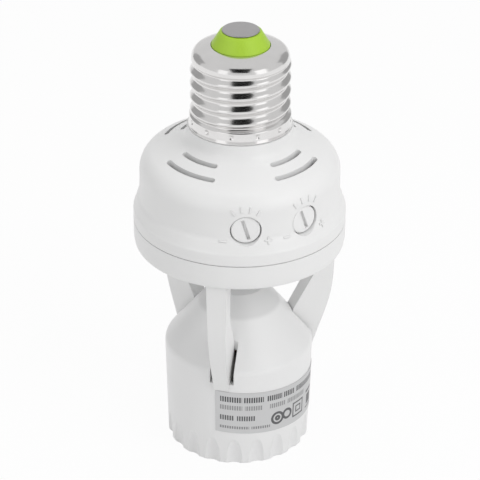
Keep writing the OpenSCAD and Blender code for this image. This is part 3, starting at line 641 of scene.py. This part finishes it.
class HOLDER_OT_sensor(Operator):
    """Gives the lens, its sensor and the light sensor under the ring their finishes"""

    bl_idname = "lamp_holder.sensor"
    bl_label = "Movement sensor"

    def execute(self, context):
        lens = Finish("lens_milk", IOR=1.5, Subsurface_Weight=0.35, Subsurface_Scale=MM)
        ring_step, sectors = 1.45 * MM, 12.0
        rings = (lens.radius() * (1.0 / ring_step)).part() - 0.5
        spokes = (lens.bearing() * (sectors / math.tau)).part() - 0.5
        facets = (abs(rings) * -2.0 + 1.0).ramp(0.0, 0.3) * (abs(spokes) * -2.0 + 1.0).ramp(0.0, 0.12)
        # The facets show on the low part of the lens only
        low = 1.0 - lens.z.ramp(59.6 * MM, 60.0 * MM)
        lens.set("Base Color", lens.mix(facets * low, (0.80, 0.81, 0.80), (0.74, 0.75, 0.745)))
        lens.set("Roughness", 0.45 + (lens.noise(1.0) - 0.5) * 0.1)
        lens.relief(facets * low, 0.12 * MM, 0.8)
        dress(lens, "fresnel_lens")
        soften("fresnel_lens", "pir_can", "light_window", "light_sensor")

        window = Finish("window_clear", IOR=1.49, Transmission_Weight=0.8)
        window.set("Base Color", window.mix(window.noise(2.0), (0.86, 0.91, 0.93), (0.90, 0.94, 0.95)))
        window.set("Roughness", 0.08 + window.noise(1.0) * 0.05)
        window.relief(window.noise(0.5), 0.004 * MM, 0.4)
        dress(window, "light_window")

        dress(metal("can_steel", (0.6, 0.6, 0.6), 0.28), "pir_can")
        glass = Finish("filter_glass", IOR=1.6, Coat_Weight=0.6, Coat_Roughness=0.05)
        glass.set("Base Color", glass.mix(glass.noise(1.5), (0.05, 0.055, 0.07), (0.08, 0.08, 0.10)))
        glass.set("Roughness", 0.12 + glass.noise(0.8) * 0.08)
        dress(glass, "pir_window")

        red, track_width = (0.62, 0.24, 0.12), 0.5 * MM
        cell = moulded("sensor_cell", red, roughness=0.3)
        track = (cell.x * (1.0 / track_width)).wave().ramp(-0.2, 0.2)
        cell.set("Base Color", cell.mix(track, red, (0.8, 0.68, 0.5)))
        dress(cell, "light_sensor")
        return {"FINISHED"}


class HOLDER_OT_circuit(Operator):
    """Gives the board and what stands on it their finishes"""

    bl_idname = "lamp_holder.circuit"
    bl_label = "Circuit"

    def execute(self, context):
        colours = context.scene.holder_colours
        board = Finish("phenolic_board", IOR=1.5)
        weave = board.noise(0.7, 4.0)
        trace = abs((board.noise(5.0, 0.0) - 0.5) * 2.0) < 0.06
        paper = board.mix(weave, (0.42, 0.27, 0.11), (0.52, 0.35, 0.16))
        board.set("Base Color", board.mix(trace * 0.6, paper, (0.35, 0.36, 0.2)))
        board.set("Roughness", 0.5 + (weave - 0.5) * 0.2)
        board.relief(weave, 0.02 * MM, 0.5)
        dress(board, "circuit_board")

        case = moulded("blue_case", (0.03, 0.12, 0.42), roughness=0.35, edge=0.2 * MM)
        dress(case, "relay", "time_trimmer", "lux_trimmer")
        dress(moulded("yellow_case", (0.70, 0.48, 0.05), roughness=0.3, edge=0.3 * MM), "film_capacitor")
        black = moulded("black_case", (0.025, 0.025, 0.028), roughness=0.45, edge=0.12 * MM)
        dress(black, "control_chip")

        dark = (0.03, 0.03, 0.03)
        diode = moulded("diode_case", dark, roughness=0.35)
        band = (diode.x > 19.4 * MM) * (diode.x < 20.1 * MM)
        diode.set("Base Color", diode.mix(band, dark, (0.6, 0.6, 0.6)))
        dress(diode, "diodes")

        film = (0.03, 0.03, 0.035)
        sleeve = moulded("capacitor_sleeve", film, roughness=0.35)
        top = sleeve.z.ramp(79.3 * MM, 79.4 * MM)
        stripe = (sleeve.x < -19.5 * MM) * (1.0 - top)
        sleeve.set("Base Color", sleeve.mix(top.either(stripe), film, (0.55, 0.55, 0.57)))
        dress(sleeve, "electrolytic_capacitor")
        soften("electrolytic_capacitor", "diodes", "resistors")

        paint = (0.62, 0.50, 0.32)
        body = moulded("resistor_body", paint, roughness=0.5)
        end, span, step, wide = 7.2 * MM, 5.2 * MM, 0.2, 0.07
        along = (body.y + end) / span
        stains = ((0.5, 0.05, 0.04), (0.1, 0.05, 0.03), (0.8, 0.3, 0.03), (0.7, 0.55, 0.2))
        for k, stain in enumerate(stains, 1):
            paint = body.mix((along > step * k) * (along < step * k + wide), paint, stain)
        body.set("Base Color", paint)
        dress(body, "resistors")

        dress(metal("pin_tin", (0.62, 0.62, 0.63), 0.35), "chip_pins", "trimmer_pins")
        dress(metal("pin_gilt", colours.brass, 0.3), "pir_pins")
        return {"FINISHED"}


class HOLDER_OT_wires(Operator):
    """Gives the four wires their insulation"""

    bl_idname = "lamp_holder.wires"
    bl_label = "Wires"

    def execute(self, context):
        soft = {"roughness": 0.5, "grain": 0.5, "depth": 0.02}
        dress(moulded("brown_insulation", (0.20, 0.08, 0.04), **soft), "live_wire", "lamp_live_wire")
        dress(moulded("blue_insulation", (0.04, 0.12, 0.45), **soft), "neutral_wire", "lamp_neutral_wire")
        soften("live_wire", "neutral_wire", "lamp_live_wire", "lamp_neutral_wire", edge_angle=55.0)
        return {"FINISHED"}


class HOLDER_OT_screws(Operator):
    """Gives the screws their zinc plate"""

    bl_idname = "lamp_holder.screws"
    bl_label = "Screws"

    def execute(self, context):
        zinc = metal("zinc_plate", (0.58, 0.58, 0.59), 0.3, smear=0.15, grain=0.4, edge=0.06 * MM)
        dress(zinc, "housing_screws", "board_screws")
        soften("housing_screws", "board_screws")
        return {"FINISHED"}


def plain_material(name):
    """A new material and the graph of its nodes."""
    material = bpy.data.materials.new(name)
    material.use_nodes = True
    return material, Graph(material.node_tree)


def rays(graph, *kinds):
    """1 for the light rays of any of the kinds."""
    path = graph.add("ShaderNodeLightPath")
    total, *rest = [Value(graph, path.outputs["Is " + kind + " Ray"]) for kind in kinds]
    for mask in rest:
        total = total.either(mask)
    return total


def flat(name, width, depth):
    """A rectangle that lies flat round the origin."""
    w, d = width / 2, depth / 2
    return piece_from(name, [(-w, -d, 0), (w, -d, 0), (w, d, 0), (-w, d, 0)], [(0, 1, 2, 3)], smooth=False)


def stand(made, place, aim):
    """Puts a card or a lamp in its place and points its -Z axis at the aim."""
    made.location = place
    made.rotation_euler = (Vector(place) - aim).to_track_quat("Z", "Y").to_euler()


def card(name, place, size, strength, aim=Vector((0.0, 0.0, 0.07))):
    """A flat studio card that only polished surfaces see."""
    made = flat(name, *size)
    stand(made, place, aim)
    made.visible_camera = made.visible_diffuse = made.visible_shadow = False
    made.visible_transmission = made.visible_volume_scatter = False
    material, graph = plain_material(name)
    glow = graph.add("ShaderNodeEmission", None, {"Color": WHITE, "Strength": strength})
    graph.add("ShaderNodeOutputMaterial", None, {"Surface": glow.outputs[0]})
    made.data.materials.append(material)


def lamp(name, place, size, power, aim=Vector((0.0, 0.0, 0.06))):
    """A soft lamp that polished surfaces don't see."""
    light = bpy.data.lights.new(name, "AREA")
    light.shape = "RECTANGLE"
    light.size, light.size_y = size
    light.energy = power
    made = bpy.data.objects.new(name, light)
    stand(made, place, aim)
    made.visible_glossy = False
    bpy.context.scene.collection.objects.link(made)


class HOLDER_OT_studio(Operator):
    """Makes the pale floor, the soft light and the camera at the photograph's angle"""

    bl_idname = "lamp_holder.studio"
    bl_label = "Studio"

    def execute(self, context):
        scene = context.scene
        studio = scene.holder_studio
        scene.view_settings.view_transform = "Standard"

        world = bpy.data.worlds.new("studio")
        scene.world = world
        world.use_nodes = True
        room = Graph(world.node_tree)
        seen = rays(room, "Camera", "Transmission")
        polish = rays(room, "Glossy")
        strength = seen * (1.0 - studio.sky) + polish * (studio.walls - studio.sky) + studio.sky
        sky = room.add("ShaderNodeBackground", None, {"Color": WHITE, "Strength": strength})
        room.add("ShaderNodeOutputWorld", None, {"Surface": sky.outputs[0]})

        floor = flat("floor", 6.0, 6.0)
        material, paper = plain_material("pale_floor")
        matt = paper.add("ShaderNodeBsdfDiffuse", None, {"Color": (0.86, 0.86, 0.86)})
        glow = paper.add("ShaderNodeEmission", None, {"Color": WHITE, "Strength": 1.0})
        # A little of the matt paper is left in the white, for the holder's shadow
        pale = rays(paper, "Camera", "Glossy", "Transmission") * 0.94
        lit = paper.add("ShaderNodeMixShader", None, {0: pale, 1: matt.outputs[0], 2: glow.outputs[0]})
        # The floor is clear from below
        clear = paper.add("ShaderNodeBsdfTransparent")
        under = paper.add("ShaderNodeNewGeometry").outputs["Backfacing"]
        both = paper.add("ShaderNodeMixShader", None, {0: under, 1: lit.outputs[0], 2: clear.outputs[0]})
        paper.add("ShaderNodeOutputMaterial", None, {"Surface": both.outputs[0]})
        floor.data.materials.append(material)

        lamp("key", (0.42, -0.42, 0.46), (0.42, 0.42), studio.key)
        lamp("fill", (-0.5, -0.3, 0.3), (0.4, 0.5), studio.fill)
        lamp("overhead", (0.0, 0.05, 0.62), (0.5, 0.5), studio.top)

        def toward(height):
            """The direction on the camera's side at an angle above the horizon."""
            return Vector((math.sin(studio.bearing) * math.cos(height),
                           -math.cos(studio.bearing) * math.cos(height), math.sin(height)))

        aim = Vector((0.0, 0.0, studio.aim_z))
        back = toward(studio.elevation)
        card("dark_flag", aim + toward(studio.flag) * 0.9, (0.60, 0.72), 0.01)
        card("bright_right", Vector((0.62, -0.62, 0.32)), (0.42, 0.75), 1.3)
        card("bright_left", Vector((-0.60, -0.62, 0.30)), (0.36, 0.70), 1.2)
        card("grey_right", Vector((0.62, 0.45, 0.22)), (0.55, 0.75), 0.42)
        card("grey_left", Vector((-0.62, 0.45, 0.22)), (0.55, 0.75), 0.42)

        camera = bpy.data.objects.new("camera", bpy.data.cameras.new("camera"))
        scene.collection.objects.link(camera)
        camera.data.lens = studio.lens
        camera.data.sensor_width = 36.0
        camera.data.clip_start, camera.data.clip_end = 0.01, 20.0
        # The holder's axis stands a little left of the picture's middle
        camera.data.shift_x = 0.00125
        camera.location = aim + back * studio.distance
        look = (-back).to_track_quat("-Z", "Y").to_matrix()
        camera.rotation_euler = (look @ Matrix.Rotation(studio.roll, 3, "Z")).to_euler()
        scene.camera = camera
        return {"FINISHED"}


STEPS = (HOLDER_OT_screw_cap, HOLDER_OT_mouldings, HOLDER_OT_label, HOLDER_OT_lamp_socket, HOLDER_OT_sensor,
         HOLDER_OT_circuit, HOLDER_OT_wires, HOLDER_OT_screws, HOLDER_OT_studio)


class HOLDER_PT_sidebar(Panel):
    """Lists the steps that dress the lamp holder"""

    bl_idname = "HOLDER_PT_sidebar"
    bl_label = "Lamp Holder"
    bl_space_type = "VIEW_3D"
    bl_region_type = "UI"
    bl_category = "Lamp Holder"

    def draw(self, context):
        for step in STEPS:
            self.layout.operator(step.bl_idname)
        for group in (context.scene.holder_sizes, context.scene.holder_colours, context.scene.holder_studio):
            box = self.layout.box()
            for name in group.__annotations__:
                box.prop(group, name)


GROUPS = (("holder_sizes", HolderSizes), ("holder_colours", HolderColours), ("holder_studio", StudioSettings))


def register():
    for name, group in GROUPS:
        bpy.utils.register_class(group)
        setattr(bpy.types.Scene, name, PointerProperty(type=group))
    for kind in (*STEPS, HOLDER_PT_sidebar):
        bpy.utils.register_class(kind)


def unregister():
    for kind in (HOLDER_PT_sidebar, *reversed(STEPS)):
        bpy.utils.unregister_class(kind)
    for name, group in reversed(GROUPS):
        delattr(bpy.types.Scene, name)
        bpy.utils.unregister_class(group)


def main():
    register()
    for step in STEPS:
        area, name = step.bl_idname.split(".")
        if getattr(getattr(bpy.ops, area), name)() != {"FINISHED"}:
            raise RuntimeError(step.bl_label + " didn't finish")


if __name__ == "__main__":
    main()
